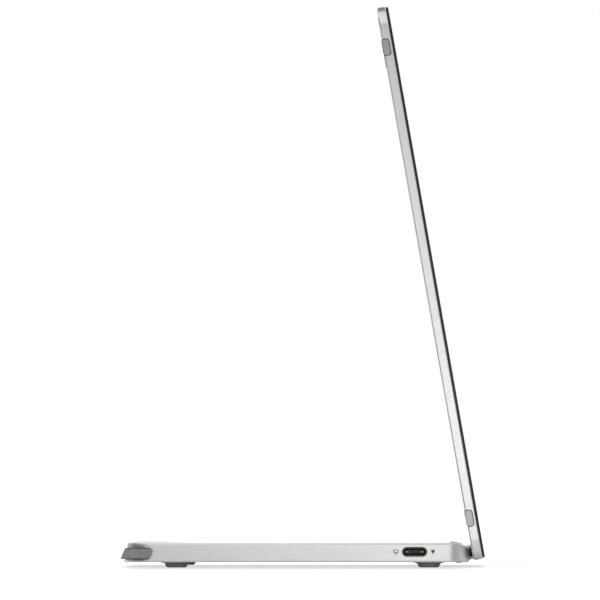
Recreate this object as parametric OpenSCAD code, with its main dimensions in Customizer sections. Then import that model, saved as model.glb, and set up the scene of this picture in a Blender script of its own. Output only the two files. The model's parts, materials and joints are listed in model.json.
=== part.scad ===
// Fourteen-inch portable monitor on a folding base that also covers its back.
// X runs along the hinge, +Y towards the far end of the base and +Z up.
// The origin is on the table, under the middle of the whole monitor.

/* [Panel] */
// Width of the panel and of the base
panel_w = 323; // [285:1:360]
// Height of the panel, measured along its face
panel_h = 206; // [170:1:240]
// Plan radius of the panel's corners
panel_corner_r = 7.5; // [5:0.5:9]
// Depth of the aluminium tray without the glass
tray_t = 3.4; // [3.3:0.1:4.5]
// Thickness of the tray's back wall
tray_floor_t = 0.8; // [0.6:0.1:1]
// Width of the tray's rim
tray_rim_w = 2.4; // [2:0.1:2.8]
// Width of the step in the rim that the bonding film lies on
tray_step_w = 1.2; // [0.8:0.1:1.4]
// Chamfer along the tray's back edge
tray_back_chamfer = 0.5; // [0.2:0.1:0.7]
// Chamfer along the tray's front edge, beside the glass
tray_front_chamfer = 0.3; // [0.1:0.1:0.4]
// Thickness of the cover glass
glass_t = 1; // [0.7:0.1:1.5]
// Step from the tray's edge to the edge of the glass
glass_inset = 0.4; // [0.3:0.1:0.8]

/* [Display stack] */
// Dark border at each side of the lit picture
side_border = 6.8; // [6.2:0.1:10]
// Dark border above the lit picture
top_border = 8; // [7:0.5:12]
// Dark border below the lit picture
bottom_border = 24; // [22:0.5:34]
// Margin of the glass cell round the lit picture
cell_margin = 1.8; // [1.2:0.1:2]
// Ledge of the cell below the picture, for the driver chips
driver_ledge_h = 5; // [4:0.5:6]
// Thickness of the film that bonds the cell to the cover glass
bond_t = 0.2; // [0.1:0.05:0.3]
// Thickness of the display cell
cell_t = 1; // [0.8:0.1:1.1]
// Thickness of the stack of optical films
films_t = 0.3; // [0.2:0.05:0.4]
// Thickness of the light guide
guide_t = 0.6; // [0.4:0.1:0.7]
// Thickness of the reflector sheet
reflector_t = 0.15; // [0.1:0.05:0.25]
// Width of the frame's bar below the display
frame_bar_w = 2.5; // [1.5:0.1:3]
// Pitch of the light-emitting diodes along the light guide
led_pitch = 7; // [5:0.5:12]

/* [Base] */
// Depth of the base, from its hinge end to its far end
base_d = 127; // [118:1:140]
// Thickness of the base without its feet
base_t = 7; // [7:0.1:8.5]
// Plan radius of the base's corners
base_corner_r = 8; // [6:0.5:10]
// Thickness of the base's top wall
base_top_t = 1; // [0.8:0.1:1.2]
// Thickness of the base's side walls
base_wall_t = 2; // [1.6:0.1:2.6]
// Thickness of the wall at the far end, which holds the grip
far_wall_t = 3.6; // [3.4:0.1:5]
// How far the far end leans in from bottom to top
far_lean = 1.65; // [0.5:0.05:2]
// Chamfer round the top edge
top_chamfer = 0.7; // [0.3:0.1:0.9]
// Chamfer round the bottom edge
bottom_chamfer = 0.5; // [0.2:0.1:0.7]
// Length of the arc in which the top falls to the hinge end
nose_run = 7; // [5:0.5:8]
// Radius of that arc
nose_r = 11.8; // [11.6:0.1:16]
// Thickness of the bottom cover
cover_t = 0.8; // [0.6:0.1:1]
// Width of the rim round the bottom cover
cover_rim_w = 1.2; // [1:0.1:1.4]
// Gap between the bottom cover and its rim
cover_gap = 0.15; // [0.1:0.05:0.3]

/* [Hinge] */
// Angle between the top of the base and the back of the panel
open_angle = 80; // [70:1:95]
// Air between the base and the back of the folded panel
closed_gap = 0.5; // [0.4:0.05:0.8]
// Distance of the hinge axis from the hinge end of the base
axis_inset = 3.95; // [3.7:0.05:4.2]
// Height of the hinge axis above the underside of the base
axis_h = 2.45; // [2.4:0.05:2.8]
// Height of the hinge axis above the panel's lower edge
axis_rise = 2.8; // [2.65:0.05:3.3]
// Width of the base beside the notch for the hinge barrel, on each side
lobe_w = 61.5; // [58:0.5:80]
// Gap between the barrel and the notch
notch_gap = 0.4; // [0.3:0.05:0.6]
// Radius of the hinge barrel
barrel_r = 3; // [2.8:0.05:3.2]
// Wall of the hinge barrel
barrel_wall_t = 0.9; // [0.7:0.05:1]
// Extra thickness of that wall along the panel's lower edge
barrel_sill_t = 0.7; // [0.4:0.1:0.9]
// Thickness of the wall between the notch and the inside of the base
notch_wall_t = 1.6; // [1.2:0.1:2]
// Diameter of the hinge shafts
shaft_d = 2; // [1.8:0.1:2.1]
// Running clearance of the shafts in their knuckles, on the radius
shaft_play = 0.03; // [0.01:0.01:0.08]
// Wall of the knuckles
knuckle_wall_t = 0.6; // [0.5:0.05:0.65]
// Length of the knuckles
knuckle_len = 8; // [6:0.5:10]
// Thickness of the hinge plates
plate_t = 1; // [0.8:0.1:1.1]
// Length of each base leaf along the hinge
leaf_w = 25; // [22:1:26]
// Reach of each base leaf into the base
leaf_reach = 16; // [14:0.5:18]
// Length of each panel arm along the hinge
arm_w = 26; // [22:1:32]
// Number of friction discs on each shaft
disc_count = 5; // [3:1:6]
// Thickness of one friction disc
disc_t = 0.25; // [0.2:0.05:0.3]

/* [Feet, grip and pads] */
// Height of the feet
foot_h = 1.95; // [1.5:0.05:3]
// Diameter of the feet's rim
foot_rim_d = 11.4; // [10.5:0.1:14]
// Diameter of the feet's flat sole
foot_sole_d = 6; // [5:0.1:7]
// Width of the feet's rounded shoulder
foot_shoulder_w = 1.05; // [0.8:0.05:1.2]
// Distance of the hinge-side feet from the hinge end
foot_hinge_inset = 14.9; // [12:0.1:22]
// Distance of the far feet from the far end
foot_far_inset = 19.5; // [14:0.1:30]
// Distance of the feet from the sides of the base
foot_side_inset = 9.5; // [8.5:0.5:14]
// Height of the rubber grip round the far end
grip_h = 4; // [3.2:0.1:4.4]
// Height of the grip's lower edge above the underside of the base
grip_rise = 1.15; // [1.1:0.05:1.6]
// Length of the grip along each side of the base
grip_run = 10.8; // [8.5:0.1:20]
// Depth of the grip's seat in the wall
grip_seat = 0.9; // [0.7:0.1:1.1]
// How far the grip stands out at the sides
grip_proud = 0.35; // [0.2:0.05:0.6]
// How far the grip stands out at the upper edge of the far end
grip_far_proud = 0.6; // [0.3:0.05:1]
// Extra lean of the grip's end face
grip_lean = 0.8; // [0:0.05:1]
// Chamfer along the grip's edges
grip_edge = 0.25; // [0.1:0.05:0.3]
// Gap round the grip
grip_gap = 0.25; // [0.1:0.05:0.3]
// Length of the side pads
pad_len = 6.2; // [5:0.1:9]
// Width of the side pads across the panel's edge
pad_w = 2.9; // [2.2:0.1:3]
// How far the side pads stand out
pad_proud = 0.25; // [0.15:0.05:0.3]
// Corner radius of the side pads
pad_r = 1; // [0.7:0.1:1.2]
// Gap round the side pads
pad_gap = 0.12; // [0.05:0.01:0.15]
// Depth of the side pads' seats
pad_seat = 1.2; // [0.8:0.1:1.5]
// Height of the lower pads' middle above the panel's lower edge
pad_low = 15.6; // [14:0.1:40]
// Distance of the upper pads' middle from the panel's upper edge
pad_high = 15; // [14:0.1:40]

/* [Ports] */
// Distance of the ports from the hinge end of the base
port_inset = 20.1; // [19.5:0.1:22]
// Height of the ports' middle above the middle of the base
port_rise = 0.28; // [0:0.02:0.3]
// Width of the port openings in the base
port_w = 9.3; // [9.1:0.1:9.6]
// Height of the port openings in the base
port_h = 3.68; // [3.5:0.02:3.8]
// Width of the plug opening
plug_w = 8.34; // [8.3:0.02:8.4]
// Height of the plug opening
plug_h = 2.56; // [2.5:0.02:2.6]
// Wall of the port's metal shell
port_shell_t = 0.3; // [0.2:0.05:0.35]
// Depth of the port's metal shell
port_depth = 7.3; // [6.5:0.1:8]

/* [Buttons] */
// Distance of the power button from the hinge end
power_inset = 41; // [38:0.5:44]
// Length of the power button
power_len = 8; // [6:0.5:10]
// Distance of the brightness rocker from the hinge end
rocker_inset = 58; // [56:0.5:59]
// Length of the brightness rocker
rocker_len = 14; // [11:0.5:14.5]
// Height of both buttons
button_h = 2.4; // [2:0.1:2.6]
// How far the buttons stand out
button_proud = 0.25; // [0.1:0.05:0.3]
// Gap round the buttons
button_gap = 0.15; // [0.12:0.01:0.25]
// Inward travel of the power button
power_travel = 0.35; // [0.2:0.05:0.4]

/* [Boards] */
// Thickness of the circuit boards in the base
board_t = 0.8; // [0.6:0.1:0.8]
// Distance of the display cable from the end of the hinge barrel's notch
cable_inset = 55; // [52.5:0.5:59]
// Depth of the main board
main_board_d = 51; // [48:1:60]
// Width of the side board
side_board_w = 24; // [22:1:25]
// Depth of the side board
side_board_d = 58; // [56:1:60]
// Width of the display cable
cable_w = 10; // [6:0.5:11]
// Thickness of the display cable
cable_t = 0.3; // [0.2:0.05:0.4]

/* [Hidden] */

// Colours
silver = "#d4d5d7";
dark_grey = "#55565a";
rubber_grey = "#8a8b8e";
black = "#161719";
steel = "#a9abae";
gold = "#c9a24c";
board_green = "#1f4a3a";

eps = 0.01;  // overlap that keeps cuts and joins clean

// Base frame: y is counted from the hinge axis, z from the table
base_z = foot_h;
top_z = base_z + base_t;
ceiling_z = top_z - base_top_t;
cover_top_z = base_z + cover_t;
mid_z = base_z + base_t/2;
axis_z = base_z + axis_h;
hinge_end_y = -axis_inset;
far_y = base_d - axis_inset;
side_x = panel_w/2;
inner_x = side_x - base_wall_t;
cavity_r = max(1, base_corner_r - base_wall_t);
nose_y = hinge_end_y + nose_run;
notch_back_y = barrel_r + notch_gap;
cavity_near_y = notch_back_y;
cavity_far_y = far_y - far_wall_t;

// Panel frame: x as the base, y up the panel, z from its back to its glass
hinge_offset = base_t - axis_h + closed_gap;
panel_t = tray_t + glass_t;
tray_in_w = panel_w - 2*tray_rim_w;
tray_in_h = panel_h - 2*tray_rim_w;
tray_in_r = max(1, panel_corner_r - tray_rim_w);
bond_z = tray_t - bond_t;
cell_z = bond_z - cell_t;
films_z = cell_z - films_t;
guide_z = films_z - guide_t;
reflector_z = guide_z - reflector_t;
stack_play = 0.3;  // gap between the display parts and their frame
frame_play = 0.2;  // gap between the frame and the tray's rim
active_top_y = panel_h - top_border;
active_bottom_y = bottom_border;
cell_w = panel_w - 2*side_border + 2*cell_margin;
cell_top_y = active_top_y + cell_margin;
cell_bottom_y = active_bottom_y - driver_ledge_h;
frame_bottom_y = cell_bottom_y - stack_play - frame_bar_w;

// Middle of the monitor, from its foremost and rearmost points
glass_front_y = (glass_inset - axis_rise)*cos(open_angle)
    - (hinge_offset + panel_t)*sin(open_angle);
grip_z = base_z + grip_rise;
grip_top_z = grip_z + grip_h;
function far_face_y(z) = far_y - far_lean*(z - base_z)/base_t;
grip_front_y = far_face_y(grip_top_z) + grip_far_proud;
grip_toe_y = far_face_y(grip_z) + grip_far_proud + grip_lean;
axis_y = -(grip_toe_y + glass_front_y)/2;

// Hinge parts, x counted outwards from the middle
notch_x = side_x - lobe_w;
lobe_x = notch_x + notch_wall_t;
knuckle_r = shaft_d/2 + knuckle_wall_t;
pocket_r = knuckle_r + 0.2;
collar_w = 0.8;
collar_x = lobe_x + 0.3;
knuckle_x = collar_x + collar_w + 0.05;
knuckle_end_x = knuckle_x + knuckle_len;
discs_x = knuckle_end_x + 0.05;
nut_x = discs_x + disc_count*disc_t;
nut_w = 2;
shaft_end_x = nut_x + nut_w + 0.6;
pocket_end_x = knuckle_x + leaf_w + 0.6;
leaf_top_z = axis_z + knuckle_r;
leaf_z = leaf_top_z - plate_t;
leaf_hole_inset = 4;
barrel_end_x = notch_x - 0.35;
barrel_in_r = barrel_r - barrel_wall_t;
cap_t = 1.5;
cap_recess = 0.2;
tang_len = 24;
tang_end_x = barrel_end_x - cap_recess - cap_t - 1;
arm_x = tang_end_x - arm_w;
arm_leaf_z = tray_floor_t + 0.4;
arm_leaf_end_y = frame_bottom_y - 1;
arm_neck_y = axis_rise;
arm_screw_xs = [arm_x + 4, arm_x + arm_w/2, arm_x + arm_w - 4];
arm_screw_y = arm_leaf_end_y - 3.2;
arm_boss_r = 2.2;
timing_boss_r = 1.8;
shaft_flat = 0.3;
rivet_r = 0.5;
rivet_xs = [tang_end_x - tang_len + 5, tang_end_x - 7];
bridge_w = 6;
bridge_z = 0.6;
leaf_screw_spots = [
    [knuckle_x + leaf_hole_inset, leaf_reach - leaf_hole_inset],
    [knuckle_x + leaf_w/2, leaf_reach - leaf_hole_inset],
    [knuckle_x + leaf_w - leaf_hole_inset, leaf_reach - leaf_hole_inset],
];
leaf_boss_r = 2.4;

// Fasteners
screw_r = 0.8;
screw_head_r = 1.5;
screw_head_h = 0.5;
screw_play = 0.1;
thread_play = 0.2;
flat_head_h = 0.4;
tray_skin_t = 0.3;  // metal left under the threads in the tray
cover_thread = 3.6;
board_thread = 2.4;
leaf_thread = 1.3;
cover_boss_r = 2.2;
cover_screw_x = side_x - foot_side_inset - foot_rim_d/2 - 5;
cover_screw_near_y = 8.6;
cover_screw_far_y = cavity_far_y - 4;
cover_screw_mid_x = notch_x - 8;
cover_screw_mid_y = 79;
barrel_screw_y = tray_rim_w + screw_head_r + 0.1;
barrel_screw_x = arm_x - 11;
barrel_screw_xs = [-barrel_screw_x, -barrel_screw_x/3, barrel_screw_x/3, barrel_screw_x];
cover_screw_spots = [
    for (sx = [-1, 1], y = [cover_screw_near_y, cover_screw_mid_y, cover_screw_far_y])
        [sx*cover_screw_x, y],
    for (x = [-cover_screw_mid_x, 0, cover_screw_mid_x], y = [cover_screw_near_y, cover_screw_far_y])
        [x, y],
];

// Ports, buttons and boards
port_y = hinge_end_y + port_inset;
port_z = mid_z + port_rise;
shell_w = plug_w + 2*port_shell_t;
shell_h = plug_h + 2*port_shell_t;
shell_mouth_x = inner_x - 0.05;
tongue_w = 6.69;
tongue_t = 0.7;
tongue_setback = 0.6;
tongue_bar_w = 1.1;
tongue_bar_t = 0.18;
port_leg_w = 0.6;
port_leg_xs = [shell_mouth_x - 2, shell_mouth_x - port_depth + 1.2];
port_leg_y = shell_w/2 - port_shell_t/2;
board_top_z = port_z - shell_h/2;
board_z = board_top_z - board_t;
board_edge_x = inner_x - 1;
board_near_y = cover_screw_near_y + cover_boss_r + 0.4;
cable_x = cable_inset - notch_x;
main_board_end_x = -cable_x - cable_w/2 - 1.5;
main_board_far_y = board_near_y + main_board_d;
side_board_in_x = board_edge_x - side_board_w;
side_board_far_y = board_near_y + side_board_d;
board_boss_r = 2;
main_board_bosses = [
    [-(board_edge_x - 14), board_near_y + 4], [-(board_edge_x - 5), main_board_far_y - 4],
    [-(main_board_end_x + 16), board_near_y + 4], [-(main_board_end_x + 4), main_board_far_y - 4],
];
side_board_bosses = [
    [side_board_in_x + 4, board_near_y + 4], [side_board_in_x + 4, side_board_far_y - 4],
];
// Chip packages on the main board: middle x, y from the board's near edge,
// then width, depth and height.
chips = [
    [-main_board_end_x - 30, 30, 14, 14, 1.4], [-main_board_end_x - 48, 34, 9, 9, 1],
    [-main_board_end_x - 12, 26, 8, 5, 1],
    [-board_edge_x + 20, 20, 5, 5, 0.9], [-board_edge_x + 26, 46, 6, 4, 1.1],
];
power_y = hinge_end_y + power_inset;
rocker_y = hinge_end_y + rocker_inset;
button_z = mid_z;
flange_t = 0.6;
flange_lip = 0.5;
flange_x = inner_x - 0.05 - flange_t;
nub_len = 0.8;
nub_x = flange_x - nub_len;
switch_face_x = nub_x - power_travel - 0.05;
rocker_flange_len = 4;
rocker_flange_x = inner_x - 0.25 - flange_t;
pivot_r = 0.4;
pivot_x = rocker_flange_x + flange_t/2;
rocker_nub_x = pivot_x - 1.2;
rocker_rock = 3;  // degrees each way
carrier_wall_t = 1;
carrier_w = 3;
carrier_back_x = rocker_flange_x - 2.6 - carrier_wall_t;
rocker_switch_dy = rocker_len/2 - 2.5;
rocker_switch_face_x = rocker_nub_x - rocker_switch_dy*sin(rocker_rock) - 0.1;

// Display cable, sockets and ribbon
socket_slot_z = board_top_z + 0.8;
socket_d = 3.2;
socket_h = 1.6;
socket_rim = 1;
cable_reach = 9;
cable_socket_y = board_near_y + cable_reach;
ribbon_w = 6;
ribbon_t = 0.3;
ribbon_reach = 36;
ribbon_y = board_near_y + ribbon_reach;
cable_z = socket_slot_z + cable_t/2;
cable_slot_w = cable_w + 1.5;
cable_slot_h = cable_t + 1.2;
cable_y = tray_rim_w + cable_slot_h/2 + 0.1;
timing_board_w = 110;
timing_board_t = 0.6;
timing_board_z = tray_floor_t + 0.3;
timing_board_inset = 4.6;
timing_board_gap = 0.5;
timing_board_y = tray_rim_w + timing_board_inset;
timing_board_end_y = frame_bottom_y - timing_board_gap;
timing_screw_inset = 3;
timing_screw_xs = [-timing_board_w/2 + timing_screw_inset, timing_board_w/2 - timing_screw_inset];
timing_screw_y = timing_board_end_y - 2.4;
timing_chip_w = 7;
timing_chip_d = 5;
timing_chip_h = 0.8;
timing_chip_xs = [-timing_board_w/28, timing_board_w/7, timing_board_w/3.7];
led_depth = 1.6;
pad_high_y = panel_h - pad_high;

// Helpers

// Extrudes a y-z outline along x, centred on the middle of the monitor.
module across(length) {
    translate([-length/2, 0, 0]) rotate([90, 0, 90]) linear_extrude(length) children();
}

// Extrudes a y-z outline along x, from x to x + length.
module along_x(x, length) {
    translate([x, 0, 0]) rotate([90, 0, 90]) linear_extrude(length) children();
}

// The right-hand piece as it is drawn, or its mirror image on the left.
module on_side(side) {
    mirror([side < 0 ? 1 : 0, 0, 0]) children();
}

module in_base() {
    translate([0, axis_y, 0]) children();
}

// Hinge frame: the origin on the hinge axis, turned with the panel.
module in_hinge() {
    translate([0, axis_y, axis_z]) rotate([open_angle, 0, 0]) children();
}

module in_panel() {
    in_hinge() translate([0, -axis_rise, hinge_offset]) children();
}

module stadium(w, h) {
    square([w - h, h], center = true);
    for (s = [-1, 1]) translate([s*(w - h)/2, 0]) circle(d = h, $fn = 48);
}

// Rounded rectangle from y0 to y1, centred in x.
module plate_outline(w, y0, y1, r) {
    translate([-w/2 + r, y0]) square([w - 2*r, y1 - y0]);
    translate([-w/2, y0 + r]) square([w, y1 - y0 - 2*r]);
    for (sx = [-1, 1], y = [y0 + r, y1 - r]) translate([sx*(w/2 - r), y]) circle(r, $fn = 96);
}

// Upright section of a slab with chamfered edges, from a to b, of height h.
module slab_section(a, b, h, c0, c1) {
    polygon([
        [a, c0], [a + c0, 0], [b - c0, 0], [b, c0],
        [b, h - c1], [b - c1, h], [a + c1, h], [a, h - c1],
    ]);
}

// Slab with rounded corners, chamfered below by c0 and above by c1.
module slab(w, y0, y1, h, r, c0, c1) {
    across(w - 2*r) slab_section(y0, y1, h, c0, c1);
    translate([0, y1 - r, 0]) rotate([90, 0, 0]) linear_extrude(y1 - y0 - 2*r)
        slab_section(-w/2, w/2, h, c0, c1);
    for (sx = [-1, 1], y = [y0 + r, y1 - r]) translate([sx*(w/2 - r), y, 0])
        rotate_extrude($fn = 96)
            polygon([[0, 0], [r - c0, 0], [r, c0], [r, h - c1], [r - c1, h], [0, h]]);
}

// Points of the arc that rounds corner b between a and c, in short straight steps.
function corner_arc(a, b, c, r, steps = 6) =
    let (u = (a - b)/norm(a - b), v = (c - b)/norm(c - b),
         half = acos(u*v)/2, reach = r/sin(half),
         mid = (u + v)/norm(u + v), centre = b + mid*reach,
         start = b + u*r/tan(half) - centre, sweep = 180 - 2*half,
         turn = sign(u.x*v.y - u.y*v.x))
    [for (i = [0:steps]) let (t = -turn*sweep*i/steps)
        centre + [start.x*cos(t) - start.y*sin(t), start.x*sin(t) + start.y*cos(t)]];

// Ellipse with the half-axes rx and ry.
module ellipse(rx, ry) {
    polygon([for (a = [0:10:350]) [rx*cos(a), ry*sin(a)]]);
}

module screw(length, head_r = screw_head_r, head_h = screw_head_h) {
    // Head downwards with its top at z = 0; the thread points up.
    translate([0, 0, -head_h]) difference() {
        cylinder(h = head_h, r = head_r, $fn = 32);
        translate([0, 0, -eps]) cylinder(h = head_h/2, r = head_r*0.45, $fn = 6);
    }
    translate([0, 0, -eps]) cylinder(h = length + eps, r = screw_r, $fn = 24);
}

// Base

module base_block() {
    nose_z = top_z - nose_r;
    difference() {
        translate([0, 0, base_z])
            slab(panel_w, hinge_end_y, far_y, base_t, base_corner_r, bottom_chamfer, top_chamfer);
        // the far end leans in
        across(panel_w + 2) polygon([
            [far_face_y(base_z - 1), base_z - 1], [far_y + 5, base_z - 1],
            [far_y + 5, top_z + 1], [far_face_y(top_z + 1), top_z + 1],
        ]);
        // the top falls in an arc to the hinge end
        across(panel_w + 2) difference() {
            translate([hinge_end_y - 1, nose_z]) square([nose_run + 1, nose_r + 1]);
            translate([nose_y, nose_z]) circle(nose_r, $fn = 180);
        }
        notch_cut();
    }
}

module notch_cut() {
    translate([-notch_x, hinge_end_y - 1, base_z - 1])
        cube([2*notch_x, notch_back_y - hinge_end_y + 1, base_t + 2]);
}

// Space inside the base, as seen from above.
module cavity_plan() {
    difference() {
        plate_outline(2*inner_x, cavity_near_y, cavity_far_y, cavity_r);
        translate([-lobe_x, cavity_near_y - 1]) square([2*lobe_x, notch_wall_t + 1]);
    }
}

// Outline of the bottom cover, or of the rebate for it.
module cover_plan(gap = 0) {
    rim = cover_rim_w + cover_gap - gap;
    difference() {
        plate_outline(panel_w - 2*rim, hinge_end_y + rim, far_y - rim, base_corner_r - rim);
        translate([-lobe_x + gap, hinge_end_y - 1])
            square([2*(lobe_x - gap), notch_back_y + notch_wall_t - hinge_end_y + 1 - gap]);
    }
}

module hinge_pocket() {
    // knuckle, friction discs and nut
    along_x(lobe_x, shaft_end_x + 0.4 - lobe_x) {
        circle(pocket_r, $fn = 48);
        translate([-pocket_r, cover_top_z - eps - axis_z])
            square([2*pocket_r, axis_z - cover_top_z + eps]);
    }
    // leaf
    translate([lobe_x, 0, cover_top_z - eps - axis_z])
        cube([pocket_end_x - lobe_x, cavity_near_y + 1, leaf_top_z + 0.1 - cover_top_z]);
    // shaft hole in the notch's wall
    along_x(notch_x - 1, notch_wall_t + 2) circle(shaft_d/2 + 0.4, $fn = 48);
}

module housing_bosses() {
    for (p = cover_screw_spots) translate([p.x, p.y, cover_top_z])
        cylinder(h = ceiling_z + eps - cover_top_z, r = cover_boss_r, $fn = 40);
    for (p = concat(main_board_bosses, side_board_bosses)) translate([p.x, p.y, board_top_z])
        cylinder(h = ceiling_z + eps - board_top_z, r = board_boss_r, $fn = 40);
    for (sx = [-1, 1], p = leaf_screw_spots) translate([sx*p.x, p.y, leaf_top_z])
        cylinder(h = ceiling_z + eps - leaf_top_z, r = leaf_boss_r, $fn = 40);
}

// Stiffening ribs under the top wall, clear of the boards.
module housing_ribs() {
    rib_t = 1.2;
    rib_h = 1.6;
    rib_y = cover_screw_mid_y - 9;
    translate([0, 0, ceiling_z + eps - rib_h]) linear_extrude(rib_h) intersection() {
        plate_outline(2*inner_x + 2*eps, cavity_near_y - eps, cavity_far_y + eps, cavity_r);
        union() {
            for (y = [rib_y, (rib_y + cavity_far_y)/2])
                translate([-side_x, y - rib_t/2]) square([panel_w, rib_t]);
            for (i = [-3:3]) translate([i*panel_w/8 - rib_t/2, rib_y])
                square([rib_t, base_d]);
            for (sx = [-1, 1]) translate([sx*25 - rib_t/2, cavity_near_y])
                square([rib_t, rib_y - cavity_near_y]);
        }
    }
}

// Side outline of the grip, or of its channel: the ends lean like the end of the base.
module grip_side(gap = 0) {
    z0 = grip_z - gap;
    z1 = grip_top_z + gap;
    near_y = far_face_y(grip_top_z) - grip_run + grip_far_proud - gap;
    lean_y = grip_toe_y - grip_front_y;
    near_low = [near_y + lean_y, z0];
    near_high = [near_y, z1];
    far_high = [grip_front_y, z1];
    far_low = [grip_toe_y, z0];
    polygon(concat(
        corner_arc(near_low, near_high, far_high, 1.2),
        corner_arc(near_high, far_high, far_low, 0.3),
        corner_arc(far_high, far_low, near_low, 0.3),
        corner_arc(far_low, near_low, near_high, 1)));
}

// Seat of the grip in the wall, as seen from above, or the grip's inner face.
module grip_seat_plan(play = 0) {
    depth = grip_seat - play;
    plate_outline(panel_w - 2*depth, hinge_end_y, far_face_y(top_z) - depth, base_corner_r - depth);
}

module grip_channel() {
    intersection() {
        across(panel_w + 4) grip_side(grip_gap);
        translate([0, 0, base_z]) linear_extrude(base_t) difference() {
            translate([-side_x - 2, 0]) square([panel_w + 4, far_y + 4]);
            grip_seat_plan();
        }
    }
}

module end_grip() {
    color(rubber_grey) in_base() difference() {
        intersection() {
            across(panel_w + 4) grip_side();
            translate([0, 0, grip_z])
                slab(panel_w + 2*grip_proud, hinge_end_y, grip_toe_y + grip_edge, grip_h,
                     base_corner_r + grip_proud, grip_edge, grip_edge);
        }
        translate([0, 0, base_z - 1]) linear_extrude(base_t + 2) grip_seat_plan(0.02);
    }
}

// Outline of a button, in the wall's plane.
module button_outline(length, gap = 0) {
    translate([0, button_z]) stadium(length + 2*gap, button_h + 2*gap);
}

module base_housing() {
    color(silver) in_base() difference() {
        union() {
            difference() {
                base_block();
                translate([0, 0, cover_top_z]) linear_extrude(ceiling_z - cover_top_z) cavity_plan();
                translate([0, 0, base_z - 1]) linear_extrude(cover_t + 1) cover_plan(cover_gap);
            }
            housing_bosses();
            housing_ribs();
        }
        for (side = [-1, 1]) on_side(side) {
            translate([0, 0, axis_z]) hinge_pocket();
            along_x(inner_x - 1, base_wall_t + 2) translate([port_y, port_z]) stadium(port_w, port_h);
        }
        grip_channel();
        along_x(inner_x - 1, base_wall_t + 2) translate([power_y, 0])
            button_outline(power_len, button_gap);
        along_x(inner_x - 1, base_wall_t + 2) translate([rocker_y, 0])
            button_outline(rocker_len, button_gap);
        // way of the display cable into the notch
        translate([cable_x - cable_slot_w/2, notch_back_y - 1, cable_z - cable_slot_h/2])
            cube([cable_slot_w, notch_wall_t + 2, cable_slot_h]);
        // threads
        for (p = cover_screw_spots) translate([p.x, p.y, cover_top_z - eps])
            cylinder(h = cover_thread, r = screw_r, $fn = 24);
        for (p = concat(main_board_bosses, side_board_bosses))
            translate([p.x, p.y, board_top_z - eps]) cylinder(h = board_thread, r = screw_r, $fn = 24);
        for (sx = [-1, 1], p = leaf_screw_spots)
            translate([sx*p.x, p.y, leaf_top_z - eps]) cylinder(h = leaf_thread, r = screw_r, $fn = 24);
    }
}

module base_cover() {
    color(silver) in_base() difference() {
        translate([0, 0, base_z]) linear_extrude(cover_t) cover_plan();
        for (p = cover_screw_spots) translate([p.x, p.y, base_z - eps]) {
            cylinder(h = cover_t + 1, r = screw_r + screw_play, $fn = 24);
            cylinder(h = screw_head_h + eps, r = screw_head_r + screw_play, $fn = 32);
        }
        // shallow troughs under the knuckles
        for (side = [-1, 1]) on_side(side) along_x(lobe_x, shaft_end_x + 0.4 - lobe_x)
            translate([0, axis_z]) circle(pocket_r, $fn = 48);
    }
}

module cover_screws() {
    color(steel) in_base() for (p = cover_screw_spots)
        translate([p.x, p.y, base_z + screw_head_h])
            screw(cover_t - screw_head_h + cover_thread - thread_play);
}

// Round foot: a flat sole, a rounded shoulder and a thin flared rim.
module foot(side, far) {
    x = side*(side_x - foot_side_inset);
    y = far ? far_y - foot_far_inset : hinge_end_y + foot_hinge_inset;
    rim_r = foot_rim_d/2;
    sole_r = foot_sole_d/2;
    waist_r = sole_r + foot_shoulder_w;
    shoulder_h = foot_h*0.55;
    flare_h = foot_h*0.42;
    lip_t = 0.2;
    color(dark_grey) in_base() translate([x, y, 0]) rotate_extrude($fn = 96) {
        square([sole_r, foot_h]);
        translate([0, shoulder_h]) square([waist_r, foot_h - shoulder_h]);
        intersection() {
            square([waist_r, shoulder_h]);
            translate([sole_r, shoulder_h]) ellipse(foot_shoulder_w, shoulder_h);
        }
        // flared rim
        difference() {
            translate([waist_r - eps, foot_h - flare_h]) square([rim_r - waist_r + eps, flare_h]);
            translate([rim_r + eps, foot_h - flare_h - lip_t])
                ellipse(rim_r - waist_r, flare_h);
        }
    }
}

// Ports

// Dark ring that lines the opening in the wall.
module port_bezel(side) {
    color(dark_grey) in_base() on_side(side) translate([0, port_y, port_z]) difference() {
        along_x(inner_x, base_wall_t - 0.1) stadium(port_w, port_h);
        along_x(inner_x - 1, base_wall_t + 1) stadium(plug_w, plug_h);
        // funnel at the mouth
        along_x(side_x - 0.4, 1) stadium(plug_w + 0.3, plug_h + 0.3);
    }
}

// Metal shell with its four mounting legs and the bars in the sides of the tongue.
module port_shell(side) {
    color(steel) in_base() on_side(side) translate([0, port_y, port_z]) {
        difference() {
            along_x(shell_mouth_x - port_depth, port_depth) stadium(shell_w, shell_h);
            along_x(shell_mouth_x - port_depth + 1, port_depth) stadium(plug_w, plug_h);
        }
        for (x = port_leg_xs, sy = [-1, 1])
            translate([x - port_leg_w, sy*port_leg_y - port_shell_t/2, board_z - port_z])
                cube([port_leg_w, port_shell_t, shell_h/2 + board_t]);
        tongue_bars();
    }
}

module tongue_bars() {
    bar_len = 2.6;
    for (sy = [-1, 1])
        translate([shell_mouth_x - tongue_setback - bar_len/2, sy*(tongue_w - tongue_bar_w)/2, 0])
            cube([bar_len, tongue_bar_w, tongue_bar_t], center = true);
}

// Moulded tongue and the block that carries it.
module port_tongue(side) {
    block_len = 1.4;
    foot_x = shell_mouth_x - port_depth + 1;
    color(black) in_base() on_side(side) translate([0, port_y, port_z]) difference() {
        union() {
            along_x(foot_x, block_len) stadium(plug_w, plug_h);
            along_x(foot_x, port_depth - 1 - tongue_setback)
                square([tongue_w, tongue_t], center = true);
            // step at the root of the tongue
            along_x(foot_x, block_len + 1.2) square([tongue_w, tongue_t*2], center = true);
        }
        tongue_bars();
    }
}

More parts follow.
